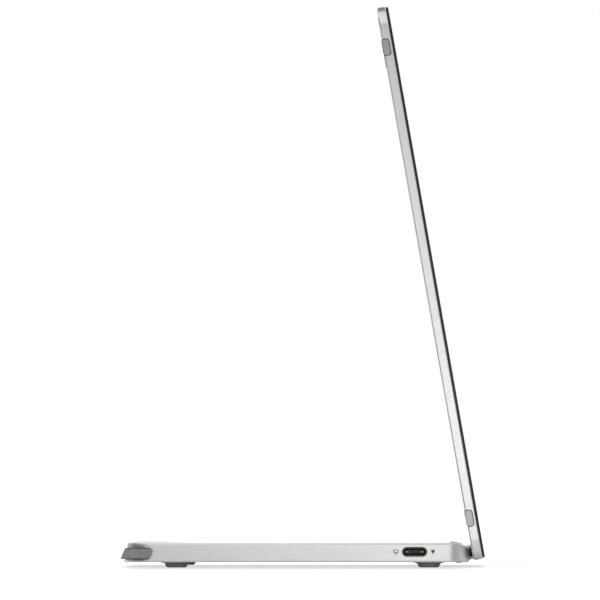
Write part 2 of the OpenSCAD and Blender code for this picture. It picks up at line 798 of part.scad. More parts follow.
// Twelve contact strips above the tongue and twelve below.
module port_contacts(side) {
    pitch = 0.5;
    strip_w = 0.26;
    strip_t = 0.06;
    strip_len = 2.5;
    color(gold) in_base() on_side(side) translate([0, port_y, port_z])
        for (s = [-1, 1], i = [0:11])
            translate([shell_mouth_x - tongue_setback - 0.5 - strip_len/2, (i - 5.5)*pitch,
                       s*(tongue_t + strip_t)/2])
                cube([strip_len, strip_w, strip_t], center = true);
}

// Boards

module board_blank(x0, x1, y0, y1, holes) {
    difference() {
        translate([x0, y0, board_z]) cube([x1 - x0, y1 - y0, board_t]);
        for (p = holes) translate([p.x, p.y, board_z - 1])
            cylinder(h = board_t + 2, r = screw_r + 0.15, $fn = 32);
        // slots for the legs of the port
        for (side = [-1, 1], x = port_leg_xs, sy = [-1, 1])
            translate([side*(x - port_leg_w/2), port_y + sy*port_leg_y, board_z + board_t/2])
                cube([port_leg_w + 0.2, port_shell_t + 0.2, board_t + 1], center = true);
    }
}

module main_board() {
    color(board_green) in_base()
        board_blank(-board_edge_x, -main_board_end_x, board_near_y, main_board_far_y, main_board_bosses);
}

module chip(w, d, h) {
    // package with a thinner lid and a row of legs on two sides
    slab(w, -d/2, d/2, h, 0.4, 0.05, 0.2);
    for (s = [-1, 1], i = [0:floor(w/1.6) - 2])
        translate([-w/2 + 1.3 + i*1.6 - 0.2, s > 0 ? d/2 - eps : -d/2 - 0.5 + eps, 0])
            cube([0.4, 0.5, 0.25]);
}

module board_chips() {
    color(black) in_base()
        for (c = chips) translate([c[0], board_near_y + c[1], board_top_z])
            chip(c[2], c[3], c[4]);
}

module power_coils() {
    color(dark_grey) in_base() for (i = [0, 1], j = [0, 1])
        translate([-board_edge_x + 16 + i*8, board_near_y + 30 + j*8, board_top_z]) {
            slab(6, -3, 3, 0.6, 1, 0.05, 0.05);
            translate([0, 0, 0.6 - eps]) cylinder(h = 1.8, r = 2.7, $fn = 48);
            translate([0, 0, 2.3]) slab(6, -3, 3, 0.4, 1, 0.05, 0.15);
        }
}

// Thin can over the radio-noisy part of the board, with rows of vent holes.
module shield_can() {
    can_w = 22;
    can_d = 18;
    can_h = 2.2;
    can_t = 0.2;
    color(steel) in_base() translate([-main_board_end_x - 64, board_near_y + 34, board_top_z])
        difference() {
            slab(can_w, -can_d/2, can_d/2, can_h, 1, 0.05, 0.15);
            translate([0, 0, -eps])
                slab(can_w - 2*can_t, -can_d/2 + can_t, can_d/2 - can_t, can_h - can_t, 0.8, 0.01, 0.05);
            for (i = [-4:4], j = [-3:3]) translate([i*2.2, j*2.2, can_h - 1])
                cylinder(h = 2, r = 0.5, $fn = 24);
        }
}

// Low sockets for the display cable and the side ribbon.
module socket(w) {
    slot_z = socket_slot_z - board_top_z - 0.1;
    difference() {
        translate([-w/2, -socket_d/2, 0]) cube([w, socket_d, socket_h]);
        translate([-w/2 + socket_rim/2, -socket_d/2 - eps, slot_z])
            cube([w - socket_rim, socket_d - socket_rim, 0.5]);
    }
}

module board_sockets() {
    color("ivory") in_base() {
        translate([cable_x, cable_socket_y, board_top_z]) socket(cable_w + 2*socket_rim);
        translate([-main_board_end_x - 3, ribbon_y, board_top_z]) rotate([0, 0, 90])
            socket(ribbon_w + 2*socket_rim);
        translate([side_board_in_x + 3, ribbon_y, board_top_z]) rotate([0, 0, -90])
            socket(ribbon_w + 2*socket_rim);
    }
}

module side_board() {
    color(board_green) in_base() difference() {
        board_blank(side_board_in_x, board_edge_x, board_near_y, side_board_far_y, side_board_bosses);
        // room for the button carrier
        translate([carrier_back_x - 0.2, rocker_y - carrier_w/2 - 0.2, board_z - 1])
            cube([board_edge_x - carrier_back_x + 1, carrier_w + 0.4, board_t + 2]);
    }
}

// Push switches behind the power button and both ends of the rocker.
module side_switches() {
    body = [3, 4, 2];
    color(black) in_base()
        for (s = [[switch_face_x, power_y], [rocker_switch_face_x, rocker_y - rocker_switch_dy],
                  [rocker_switch_face_x, rocker_y + rocker_switch_dy]])
            translate([s[0], s[1], 0]) {
                translate([-body.x - 0.6, -body.y/2, board_top_z]) cube(body);
                along_x(-0.6 - eps, 0.6 + eps) translate([0, board_top_z + 1.1]) circle(0.8, $fn = 32);
            }
}

// Flat ribbon from the main board to the side board.
module side_ribbon() {
    x0 = -main_board_end_x - 3.5;
    x1 = side_board_in_x + 3.5;
    color("whitesmoke") in_base()
        translate([x0, ribbon_y - ribbon_w/2, socket_slot_z]) cube([x1 - x0, ribbon_w, ribbon_t]);
}

module board_screws() {
    color(steel) in_base() for (p = concat(main_board_bosses, side_board_bosses))
        translate([p.x, p.y, board_z])
            screw(board_t + board_thread - thread_play, screw_head_r, flat_head_h);
}

// Buttons

module power_button() {
    color(silver) in_base() {
        along_x(flange_x + flange_t - eps, side_x + button_proud - flange_x - flange_t + eps)
            translate([power_y, 0]) button_outline(power_len);
        along_x(flange_x, flange_t) translate([power_y, 0]) button_outline(power_len, flange_lip);
        along_x(nub_x, nub_len + eps) translate([power_y, button_z]) circle(0.9, $fn = 32);
    }
}

module brightness_rocker() {
    pivot_reach = button_h/2 + flange_lip + 0.6;
    color(silver) in_base() {
        along_x(rocker_flange_x + flange_t - eps, side_x + button_proud - rocker_flange_x - flange_t + eps)
            translate([rocker_y, 0]) button_outline(rocker_len);
        along_x(rocker_flange_x, flange_t) translate([rocker_y, button_z])
            square([rocker_flange_len, button_h + 2*flange_lip], center = true);
        along_x(rocker_flange_x, flange_t) translate([rocker_y, 0]) button_outline(rocker_len);
        translate([pivot_x, rocker_y, button_z - pivot_reach])
            cylinder(h = 2*pivot_reach, r = pivot_r, $fn = 32);
        for (s = [-1, 1]) along_x(rocker_nub_x, pivot_x - rocker_nub_x)
            translate([rocker_y + s*rocker_switch_dy, button_z]) circle(0.8, $fn = 32);
    }
}

// Plastic carrier that holds the rocker's pivots behind the wall.
module button_carrier() {
    arm_z = button_h/2 + flange_lip + 0.2;
    arm_t = 0.6;
    color(black) in_base() translate([0, rocker_y, button_z]) difference() {
        union() {
            for (s = [-1, 1]) translate([carrier_back_x, -carrier_w/2, s > 0 ? arm_z : -arm_z - arm_t])
                cube([inner_x - carrier_back_x, carrier_w, arm_t]);
            translate([carrier_back_x, -carrier_w/2, -arm_z - arm_t])
                cube([carrier_wall_t, carrier_w, 2*(arm_z + arm_t)]);
        }
        translate([pivot_x, 0, -arm_z - 1]) cylinder(h = 2*arm_z + 2, r = pivot_r + 0.05, $fn = 32);
    }
}

// Hinge, base side

// Steel leaf with the knuckle that grips the shaft.
module hinge_leaf(side) {
    r = 2;
    color(steel) in_base() on_side(side) difference() {
        union() {
            along_x(knuckle_x, knuckle_len) translate([0, axis_z]) circle(knuckle_r, $fn = 64);
            translate([knuckle_x, 0, leaf_z]) cube([knuckle_len, leaf_reach/2, plate_t]);
            translate([knuckle_x + leaf_w/2, 0, leaf_z]) linear_extrude(plate_t)
                plate_outline(leaf_w, cavity_near_y - 1.2, leaf_reach, r);
        }
        along_x(knuckle_x - 1, knuckle_len + 2) translate([0, axis_z])
            circle(shaft_d/2 + shaft_play, $fn = 64);
        for (p = leaf_screw_spots) translate([p.x, p.y, leaf_z - 1])
            cylinder(h = plate_t + 2, r = screw_r + screw_play, $fn = 32);
    }
}

module leaf_screws() {
    color(steel) in_base() for (sx = [-1, 1], p = leaf_screw_spots)
        translate([sx*p.x, p.y, leaf_z]) screw(plate_t + leaf_thread - thread_play);
}

// Flat display cable from its socket into the notch's wall.
module display_cable_base() {
    color(black) in_base() translate([cable_x - cable_w/2, notch_back_y + 0.2, socket_slot_z])
        cube([cable_w, cable_socket_y - notch_back_y - 0.2, cable_t]);
}

// Hinge, panel side

// Turned shaft: half-round tang, collar, journal and flatted end.
module hinge_shaft(side) {
    r = shaft_d/2;
    tang_x = tang_end_x - tang_len;
    color(steel) in_hinge() on_side(side) difference() {
        union() {
            along_x(tang_x, discs_x - tang_x) circle(r, $fn = 64);
            along_x(collar_x, collar_w) circle(knuckle_r - 0.1, $fn = 64);
            along_x(discs_x - eps, shaft_end_x - discs_x + eps) flatted_round();
        }
        // half of the tang is milled away for the arm
        along_x(tang_x - 1, tang_len + 1) translate([0, -2*r]) square([2*r, 4*r]);
        for (x = rivet_xs) translate([x, -r - 1, 0]) rotate([-90, 0, 0])
            cylinder(h = 2*r + 2, r = rivet_r, $fn = 32);
    }
}

// Section of the shaft's end: round, with two flats that turn the discs with it.
module flatted_round() {
    intersection() {
        circle(shaft_d/2, $fn = 64);
        square([2*shaft_d, shaft_d - 2*shaft_flat], center = true);
    }
}

// Disc springs that press the knuckle against the collar.
module friction_discs(side) {
    color(steel) in_hinge() on_side(side)
        for (i = [0:disc_count - 1]) along_x(discs_x + i*disc_t, disc_t*0.92) difference() {
            circle(knuckle_r - 0.1, $fn = 64);
            flatted_round();
        }
}

module hinge_nut(side) {
    color(steel) in_hinge() on_side(side) along_x(nut_x, nut_w) difference() {
        circle(pocket_r - 0.15, $fn = 6);
        flatted_round();
    }
}

// Angled steel arm: a neck riveted to the tang and a plate screwed into the tray.
module hinge_arm(side) {
    neck_reach = hinge_offset + 0.8;
    color(steel) in_panel() on_side(side) difference() {
        union() {
            translate([arm_x, arm_neck_y, -neck_reach])
                cube([arm_w, plate_t, neck_reach + arm_leaf_z + plate_t]);
            translate([arm_x, arm_neck_y, arm_leaf_z]) cube([arm_w, 4, plate_t]);
            translate([arm_x + arm_w/2, 0, arm_leaf_z]) linear_extrude(plate_t)
                plate_outline(arm_w, arm_neck_y, arm_leaf_end_y, 1.2);
        }
        for (x = arm_screw_xs) translate([x, arm_screw_y, arm_leaf_z - 1])
            cylinder(h = plate_t + 2, r = screw_r + screw_play, $fn = 32);
        for (x = rivet_xs) translate([x, arm_neck_y - 1, -hinge_offset]) rotate([-90, 0, 0])
            cylinder(h = plate_t + 2, r = rivet_r, $fn = 32);
    }
}

module hinge_rivets() {
    head_r = 0.8;
    head_t = 0.15;
    color(steel) in_panel() for (side = [-1, 1]) on_side(side) for (x = rivet_xs)
        translate([x, arm_neck_y + plate_t + head_t, -hinge_offset]) rotate([90, 0, 0]) {
            cylinder(h = head_t + plate_t + shaft_d/2, r = rivet_r, $fn = 32);
            cylinder(h = head_t, r = head_r, $fn = 32);
        }
}

// Section of the barrel about the hinge axis; its lower flank meets the panel's edge.
module barrel_outline() {
    circle(barrel_r, $fn = 96);
    polygon([
        [-barrel_r, 0], [barrel_r, 0], [barrel_r, hinge_offset],
        [tray_back_chamfer - axis_rise, hinge_offset],
    ]);
}

// Channel inside the barrel, shrunk by play.
module barrel_channel(reach, play = 0) {
    r = barrel_in_r - play;
    circle(r, $fn = 96);
    translate([barrel_sill_t - r, 0]) square([2*r - barrel_sill_t, reach]);
}

// Aluminium barrel: a channel that closes round the shafts and meets the panel.
module hinge_barrel() {
    color(silver) in_hinge() {
        difference() {
            across(2*barrel_end_x) difference() {
                barrel_outline();
                barrel_channel(hinge_offset + 1);
            }
            // way of the display cable
            translate([cable_x - cable_slot_w/2, cable_y - axis_rise - cable_slot_h/2, -barrel_r - 1])
                cube([cable_slot_w, cable_slot_h, barrel_wall_t + 1 + barrel_in_r/2]);
        }
        // bridges for the screws that hold the barrel to the tray
        for (x = barrel_screw_xs) difference() {
            translate([x - bridge_w/2, barrel_sill_t - barrel_in_r - eps, bridge_z])
                cube([bridge_w, 2*barrel_in_r - barrel_sill_t + 2*eps, hinge_offset - bridge_z]);
            translate([x, barrel_screw_y - axis_rise, bridge_z - 1])
                cylinder(h = hinge_offset + 1, r = screw_r, $fn = 24);
        }
    }
}

// Plug that closes each end of the barrel.
module barrel_cap(side) {
    play = 0.02;
    color(black) in_hinge() on_side(side)
        along_x(barrel_end_x - cap_recess - cap_t, cap_t) difference() {
            barrel_channel(hinge_offset - play, play);
            circle(shaft_d/2, $fn = 64);
        }
}

// Flat display cable from inside the barrel to the timing board.
module display_cable_panel() {
    plug_y = timing_board_y + 3;
    flat_z = timing_board_z + timing_board_t + 0.8;
    color(black) in_panel() {
        translate([cable_x - cable_w/2, cable_y - cable_t/2, -hinge_offset - barrel_in_r + 0.4])
            cube([cable_w, cable_t, flat_z + cable_t + hinge_offset + barrel_in_r - 0.4]);
        translate([cable_x - cable_w/2, cable_y - cable_t/2, flat_z])
            cube([cable_w, plug_y - cable_y + cable_t, cable_t]);
    }
}

// Panel

// Slots in the tray's back wall, inside the barrel's outline.
module tray_slots() {
    for (side = [-1, 1]) on_side(side)
        translate([arm_x - 0.2, arm_neck_y - 0.2, -1]) cube([arm_w + 0.4, plate_t + 0.4, tray_floor_t + 2]);
    translate([cable_x - cable_slot_w/2, cable_y - cable_slot_h/2, -1])
        cube([cable_slot_w, cable_slot_h, tray_floor_t + 2]);
    for (x = barrel_screw_xs) translate([x, barrel_screw_y, -1])
        cylinder(h = tray_floor_t + 2, r = screw_r + screw_play, $fn = 32);
}

// Outline of a side pad or of its seat, y up the panel and z across its edge.
module pad_outline(y, gap = 0) {
    r = pad_r + gap;
    half_len = pad_len/2 + gap;
    z0 = -pad_proud - gap;
    z1 = pad_w - pad_proud + gap;
    translate([y - half_len + r, z0]) square([2*(half_len - r), z1 - z0]);
    translate([y - half_len, z0 + r]) square([2*half_len, z1 - z0 - 2*r]);
    for (sy = [-1, 1], z = [z0 + r, z1 - r])
        translate([y + sy*(half_len - r), z]) circle(r, $fn = 64);
}

module side_pad(side, y) {
    color(rubber_grey) in_panel() on_side(side) {
        along_x(side_x - pad_seat, pad_seat) pad_outline(y);
        // rounded crown that stands out of the rim
        along_x(side_x - eps, pad_proud*0.5 + eps) pad_outline(y);
        along_x(side_x + pad_proud*0.5 - eps, pad_proud*0.5 + eps) pad_outline(y, -0.15);
    }
}

// Ribs on the tray's floor beside the hinge arms.
module tray_ribs() {
    rib_h = 0.9;
    for (side = [-1, 1]) on_side(side) for (i = [0:4])
        translate([arm_x + arm_w + 6 + i*8, tray_rim_w - eps, tray_floor_t - eps])
            cube([1, frame_bottom_y - tray_rim_w - 0.6, rib_h]);
}

module panel_tray() {
    color(silver) in_panel() difference() {
        union() {
            difference() {
                slab(panel_w, 0, panel_h, tray_t, panel_corner_r, tray_back_chamfer, tray_front_chamfer);
                translate([0, 0, tray_floor_t]) linear_extrude(tray_t)
                    plate_outline(tray_in_w, tray_rim_w, panel_h - tray_rim_w, tray_in_r);
                translate([0, 0, bond_z]) linear_extrude(tray_t)
                    plate_outline(tray_in_w + 2*tray_step_w, tray_rim_w - tray_step_w,
                                  panel_h - tray_rim_w + tray_step_w, tray_in_r + tray_step_w);
            }
            for (side = [-1, 1], x = arm_screw_xs) on_side(side)
                translate([x, arm_screw_y, tray_floor_t - eps])
                    cylinder(h = arm_leaf_z - tray_floor_t + eps, r = arm_boss_r, $fn = 40);
            for (x = timing_screw_xs) translate([x, timing_screw_y, tray_floor_t - eps])
                cylinder(h = timing_board_z - tray_floor_t + eps, r = timing_boss_r, $fn = 40);
            tray_ribs();
        }
        tray_slots();
        for (side = [-1, 1], x = arm_screw_xs) on_side(side)
            translate([x, arm_screw_y, tray_skin_t]) cylinder(h = tray_t, r = screw_r, $fn = 24);
        for (x = timing_screw_xs) translate([x, timing_screw_y, tray_skin_t])
            cylinder(h = tray_t, r = screw_r, $fn = 24);
        for (side = [-1, 1], y = [pad_low, pad_high_y]) on_side(side)
            along_x(side_x - pad_seat, pad_seat + 1) pad_outline(y, pad_gap);
    }
}

module cover_glass() {
    color(black) in_panel() translate([0, 0, tray_t])
        slab(panel_w - 2*glass_inset, glass_inset, panel_h - glass_inset, glass_t,
             panel_corner_r - glass_inset, 0.05, 0.15);
}

module optical_bond() {
    gap = 0.1;
    color("whitesmoke", 0.4) in_panel() translate([0, 0, bond_z]) linear_extrude(bond_t)
        plate_outline(tray_in_w + 2*tray_step_w - 2*gap, tray_rim_w - tray_step_w + gap,
                      panel_h - tray_rim_w + tray_step_w - gap, tray_in_r + tray_step_w - gap);
}

module cell_sheet(z, t, inset) {
    translate([-cell_w/2 + inset, cell_bottom_y + inset, z])
        cube([cell_w - 2*inset, cell_top_y - cell_bottom_y - 2*inset, t]);
}

// Two bonded glass sheets; the rear one has the ledge with the driver chips.
module display_cell() {
    ledge_y = active_bottom_y - cell_margin;
    color("#20262e") in_panel() {
        cell_sheet(cell_z, cell_t/2, 0);
        translate([-cell_w/2, ledge_y, cell_z]) cube([cell_w, cell_top_y - ledge_y, cell_t]);
        for (i = [-3:3]) translate([i*cell_w/8 - 6, cell_bottom_y + 0.8, cell_z + cell_t/2 - eps])
            cube([12, 1.2, cell_t/4]);
    }
}

// Diffuser and two prism sheets.
module optical_films() {
    color("white") in_panel() for (i = [0:2])
        cell_sheet(films_z + i*films_t/3, films_t/3*0.96, 0.4 + 0.3*i);
}

module light_guide() {
    color("azure", 0.6) in_panel() difference() {
        cell_sheet(guide_z, guide_t, 0.4);
        translate([-cell_w/2, cell_bottom_y - 1, guide_z - 1]) cube([cell_w, led_depth + 1.2, guide_t + 2]);
    }
}

module reflector_sheet() {
    color("white") in_panel() cell_sheet(reflector_z, reflector_t, 0);
}

// Flexible strip with a row of light-emitting diodes under the picture.
module led_strip() {
    count = floor((cell_w - 8)/led_pitch);
    color("gold") in_panel() {
        translate([-cell_w/2 + 2, cell_bottom_y + 0.1, guide_z]) cube([cell_w - 4, led_depth - 0.1, 0.12]);
        for (i = [0:count - 1])
            translate([(i - (count - 1)/2)*led_pitch - 1.5, cell_bottom_y + 0.6, guide_z + 0.12 - eps])
                cube([3, led_depth - 0.6, guide_t - 0.12]);
    }
}

// Moulded frame round the display, with the ledge that carries it.
module display_frame() {
    ledge_w = 2;
    outer_w = tray_in_w - 2*frame_play;
    top_y = panel_h - tray_rim_w - frame_play;
    in_w = cell_w + 2*stack_play;
    in_top_y = cell_top_y + stack_play;
    in_bottom_y = cell_bottom_y - stack_play;
    corner_r = tray_in_r - frame_play;
    color(black) in_panel() difference() {
        translate([0, 0, tray_floor_t]) linear_extrude(bond_z - tray_floor_t) {
            plate_outline(outer_w, frame_bottom_y + corner_r, top_y, corner_r);
            translate([-outer_w/2, frame_bottom_y]) square([outer_w, 2*corner_r]);
        }
        translate([-in_w/2, in_bottom_y, reflector_z])
            cube([in_w, in_top_y - in_bottom_y, tray_t]);
        translate([-in_w/2 + ledge_w, in_bottom_y + ledge_w, tray_floor_t - 1])
            cube([in_w - 2*ledge_w, in_top_y - in_bottom_y - 2*ledge_w, tray_t]);
    }
}

// Narrow board that drives the display, below the frame.
module timing_board() {
    color(board_green) in_panel() {
        difference() {
            translate([-timing_board_w/2, timing_board_y, timing_board_z])
                cube([timing_board_w, timing_board_end_y - timing_board_y, timing_board_t]);
            for (x = timing_screw_xs) translate([x, timing_screw_y, timing_board_z - 1])
                cylinder(h = timing_board_t + 2, r = screw_r + screw_play, $fn = 32);
        }
        for (x = timing_chip_xs)
            translate([x, (timing_board_y + timing_board_end_y)/2, timing_board_z + timing_board_t - eps])
                slab(timing_chip_w, -timing_chip_d/2, timing_chip_d/2, timing_chip_h, 0.3, 0.05, 0.1);
    }
}

// Screws of the hinge arms, the barrel and the timing board.
module panel_screws() {
    color(steel) in_panel() {
        for (side = [-1, 1], x = arm_screw_xs) on_side(side)
            translate([x, arm_screw_y, arm_leaf_z + plate_t]) rotate([180, 0, 0])
                screw(arm_leaf_z + plate_t - tray_skin_t - thread_play, screw_head_r, flat_head_h);
        for (x = timing_screw_xs) translate([x, timing_screw_y, timing_board_z + timing_board_t])
            rotate([180, 0, 0])
                screw(timing_board_z + timing_board_t - tray_skin_t - thread_play, screw_head_r,
                      flat_head_h);
        for (x = barrel_screw_xs) translate([x, barrel_screw_y, tray_floor_t])
            rotate([180, 0, 0]) screw(tray_floor_t + 2.4, screw_head_r - 0.3, flat_head_h);
    }
}

base_housing();
base_cover();
cover_screws();
foot(-1, false);  // foot_hinge_left
foot(1, false);  // foot_hinge_right
foot(-1, true);  // foot_far_left
foot(1, true);  // foot_far_right
end_grip();
port_bezel(-1);  // port_bezel_left
port_bezel(1);  // port_bezel_right
port_shell(-1);  // port_shell_left
port_shell(1);  // port_shell_right
port_tongue(-1);  // port_tongue_left
port_tongue(1);  // port_tongue_right
port_contacts(-1);  // port_contacts_left
port_contacts(1);  // port_contacts_right
main_board();
board_chips();
power_coils();
shield_can();
board_sockets();
side_board();
side_switches();
side_ribbon();
button_carrier();
board_screws();
power_button();
brightness_rocker();
hinge_leaf(-1);  // hinge_leaf_left
hinge_leaf(1);  // hinge_leaf_right
leaf_screws();
display_cable_base();
hinge_shaft(-1);  // hinge_shaft_left
hinge_shaft(1);  // hinge_shaft_right
friction_discs(-1);  // friction_discs_left
friction_discs(1);  // friction_discs_right
hinge_nut(-1);  // hinge_nut_left
hinge_nut(1);  // hinge_nut_right
hinge_arm(-1);  // hinge_arm_left
hinge_arm(1);  // hinge_arm_right
hinge_rivets();
hinge_barrel();
barrel_cap(-1);  // barrel_cap_left
barrel_cap(1);  // barrel_cap_right
display_cable_panel();
panel_tray();
cover_glass();
optical_bond();
display_cell();
optical_films();
light_guide();
reflector_sheet();
led_strip();
display_frame();
timing_board();
panel_screws();
side_pad(-1, pad_low);  // side_pad_low_left
side_pad(1, pad_low);  // side_pad_low_right
side_pad(-1, pad_high_y);  // side_pad_high_left
side_pad(1, pad_high_y);  // side_pad_high_right
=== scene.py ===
"""Portable monitor: materials, the small prints beside the ports, floor, light and
camera, round the solids of the CAD."""

import json
import math

import bmesh
import bpy
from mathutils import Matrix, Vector

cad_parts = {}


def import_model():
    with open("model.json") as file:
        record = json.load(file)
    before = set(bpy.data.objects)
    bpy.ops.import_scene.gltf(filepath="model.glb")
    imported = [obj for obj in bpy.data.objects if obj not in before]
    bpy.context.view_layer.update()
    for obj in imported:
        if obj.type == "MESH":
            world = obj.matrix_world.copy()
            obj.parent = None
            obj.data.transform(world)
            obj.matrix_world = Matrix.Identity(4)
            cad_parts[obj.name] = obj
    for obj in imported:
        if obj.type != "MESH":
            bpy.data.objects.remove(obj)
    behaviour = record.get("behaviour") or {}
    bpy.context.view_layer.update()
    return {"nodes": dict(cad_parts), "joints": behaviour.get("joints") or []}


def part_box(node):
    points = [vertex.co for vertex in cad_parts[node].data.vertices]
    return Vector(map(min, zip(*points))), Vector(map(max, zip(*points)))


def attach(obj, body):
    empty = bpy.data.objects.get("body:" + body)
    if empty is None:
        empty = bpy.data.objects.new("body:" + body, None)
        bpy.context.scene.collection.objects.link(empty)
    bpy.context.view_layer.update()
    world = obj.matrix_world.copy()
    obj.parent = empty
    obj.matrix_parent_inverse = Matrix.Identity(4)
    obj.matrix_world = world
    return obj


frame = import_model()

MM = 0.001

# Where the CAD puts the parts that pieces or materials follow, in metres.
LEFT_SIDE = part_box("base_housing")[0][0]
RIGHT_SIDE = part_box("base_housing")[1][0]
PORT_LOW, PORT_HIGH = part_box("port_bezel_left")
PORT_Y = (PORT_LOW[1] + PORT_HIGH[1]) / 2
PORT_Z = (PORT_LOW[2] + PORT_HIGH[2]) / 2
GRIP_LOW, GRIP_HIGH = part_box("end_grip")
CELL_LOW, CELL_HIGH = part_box("display_cell")
LOW_PAD, HIGH_PAD = (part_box(f"side_pad_{level}_left") for level in ("low", "high"))
HINGE = next(j for j in frame["joints"] if j["name"] == "panel_tilt")["pos_m"]

# The angle between the panel and the base at rest, and the way the screen faces.
PANEL_LEAN = math.radians(80)
PANEL_NORMAL = (0.0, -math.sin(PANEL_LEAN), math.cos(PANEL_LEAN))

# The outline of a side pad, as the CAD cuts it: length, width and corner radius.
PAD_LONG, PAD_WIDE, PAD_ROUND = 6.2 * MM, 2.9 * MM, 1.0 * MM


# ---------------------------------------------------------------- node trees

# The sockets of a Mix node that mixes colours.
MIX_FACTOR, MIX_A, MIX_B, MIX_RESULT = 0, 6, 7, 2

# The range of a noise from 0 to 1 that is spread over tones or roughness.
CLOUD_RANGE = (0.3, 0.7)
GRAIN_RANGE = (0.25, 0.75)


class Nodes:
    """A node tree that grows by short calls, each of which gives a node or a socket."""

    def __init__(self, tree):
        self.tree = tree

    def add(self, kind, inputs=None, **settings):
        node = self.tree.nodes.new(kind)
        for key, value in settings.items():
            setattr(node, key, value)
        for key, value in (inputs or {}).items():
            self.feed(node.inputs[key], value)
        return node

    def feed(self, socket, value):
        if isinstance(value, bpy.types.NodeSocket):
            self.tree.links.new(value, socket)
        else:
            socket.default_value = value

    def math(self, operation, *values):
        inputs = dict(enumerate(values))
        return self.add("ShaderNodeMath", inputs, operation=operation).outputs["Value"]

    def product(self, first, *others):
        for other in others:
            first = self.math("MULTIPLY", first, other)
        return first

    def away(self, value, middle):
        """How far the value is from the middle, on either side."""
        return self.math("ABSOLUTE", self.math("SUBTRACT", value, middle))

    def spread(self, value, low, high, to=(0.0, 1.0), curve="LINEAR"):
        """The value moved from the range low to high onto another, and held inside it."""
        inputs = {"Value": value, "From Min": low, "From Max": high, "To Min": to[0], "To Max": to[1]}
        return self.add("ShaderNodeMapRange", inputs, interpolation_type=curve).outputs["Result"]

    def ease(self, value, low, high, to=(0.0, 1.0)):
        """As spread, with a soft start and a soft end."""
        return self.spread(value, low, high, to, curve="SMOOTHSTEP")

    def band(self, value, middle, half, soft):
        """1 inside middle ± half, falling to 0 over soft."""
        return self.spread(self.away(value, middle), half + soft / 2, half - soft / 2)

    def axes(self, vector):
        split = self.add("ShaderNodeSeparateXYZ", {"Vector": vector})
        return [split.outputs[axis] for axis in "XYZ"]


class Look(Nodes):
    """One node-based material, built up from the object's own coordinates."""

    def __init__(self, name, metallic=0.0, specular=0.5, coat=0.0):
        self.mat = bpy.data.materials.new(name)
        self.mat.use_nodes = True
        super().__init__(self.mat.node_tree)
        self.shader = self.tree.nodes["Principled BSDF"]
        self.shader.inputs["Metallic"].default_value = metallic
        self.shader.inputs["Specular IOR Level"].default_value = specular
        self.shader.inputs["Coat Weight"].default_value = coat
        self.place = self.add("ShaderNodeTexCoord").outputs["Object"]

    def scaled(self, size, stretch=(1, 1, 1)):
        """The object's coordinates, counted in steps of size metres."""
        inputs = {"Vector": self.place, "Scale": Vector(stretch) / size}
        return self.add("ShaderNodeMapping", inputs).outputs["Vector"]

    def noise(self, size, detail=3.0, roughness=0.55, stretch=(1, 1, 1)):
        """A fractal noise from 0 to 1 whose largest grains are size metres across."""
        place = self.scaled(size, stretch)
        inputs = {"Vector": place, "Scale": 1.0, "Detail": detail, "Roughness": roughness}
        return self.add("ShaderNodeTexNoise", inputs).outputs["Fac"]

    def cells(self, size):
        """Distance to the nearest of scattered points that lie size metres apart."""
        inputs = {"Vector": self.place, "Scale": 1.0 / size}
        return self.add("ShaderNodeTexVoronoi", inputs).outputs["Distance"]

    def blend(self, factor, colour_a, colour_b):
        """A colour that goes from a to b as the factor goes from 0 to 1."""
        node = self.add("ShaderNodeMix", {MIX_FACTOR: factor}, data_type="RGBA")
        for index, value in ((MIX_A, colour_a), (MIX_B, colour_b)):
            if not isinstance(value, bpy.types.NodeSocket):
                value = (*grey(value), 1.0)
            self.feed(node.inputs[index], value)
        return node.outputs[MIX_RESULT]

    def mottle(self, noise, dark, light):
        """Two tones that follow a noise."""
        return self.blend(self.spread(noise, *CLOUD_RANGE), dark, light)

    def colour(self, value):
        self.feed(self.shader.inputs["Base Color"], value)

    def rough(self, value):
        self.feed(self.shader.inputs["Roughness"], value)

    def bump(self, value, depth, strength=1.0):
        """A relief of the given depth in metres."""
        inputs = {"Height": value, "Distance": depth, "Strength": strength}
        normal = self.add("ShaderNodeBump", inputs).outputs["Normal"]
        self.feed(self.shader.inputs["Normal"], normal)


def grey(value):
    """A colour of three parts, also from one number."""
    return (value, value, value) if isinstance(value, (int, float)) else tuple(value)


def toned(colour, factor):
    return tuple(part * factor for part in grey(colour))


def panel_place(look):
    """The object's coordinates turned so that X runs across the panel, Y up it from
    the hinge's height and Z out of its front."""
    moved = look.add(
        "ShaderNodeVectorMath", {0: look.place, 1: Vector(HINGE)}, operation="SUBTRACT"
    ).outputs["Vector"]
    inputs = {"Vector": moved, "Angle": -PANEL_LEAN}
    return look.add("ShaderNodeVectorRotate", inputs, rotation_type="X_AXIS").outputs["Vector"]


# ---------------------------------------------------------------- materials

# The clean metal: its tone, how much duller and brighter its clouds are, how its noise
# is made up, and the part of the grain that is spread over its roughness.
METAL_TONE = 0.80
METAL_DULL, METAL_BRIGHT = 0.965, (1.02, 1.02, 1.03)
GRAIN_SHARE, CLOUD_SHARE = 0.6, 0.4
METAL_RANGE, METAL_ROUGHNESS = (0.2, 0.8), (0.27, 0.35)

# Painted shade beside the end grip: its tone as a share of the clean metal's, and how far it is
# gone and full from the grip's inner end, outer end, lower edge and upper edge.
SEAT_SHADE_TONE = 0.48
SEAT_INNER = (0.8 * MM, 3.8 * MM)
SEAT_OUTER = (3.0 * MM, 5.0 * MM)
SEAT_BELOW = (1.05 * MM, 0.6 * MM)
SEAT_ABOVE = (1.75 * MM, 1.2 * MM)

# The hairline of painted shade near the panel's back: its tone as a share of the clean metal's,
# how far from the back it runs, half its width, its soft edge, and how far inside the
# panel's sides it is gone and full.
LINE_SHADE_TONE = 0.66
LINE_IN, LINE_HALF, LINE_SOFT = 0.3 * MM, 0.2 * MM, 0.15 * MM
LINE_SIDE = (1.5 * MM, 1.0 * MM)
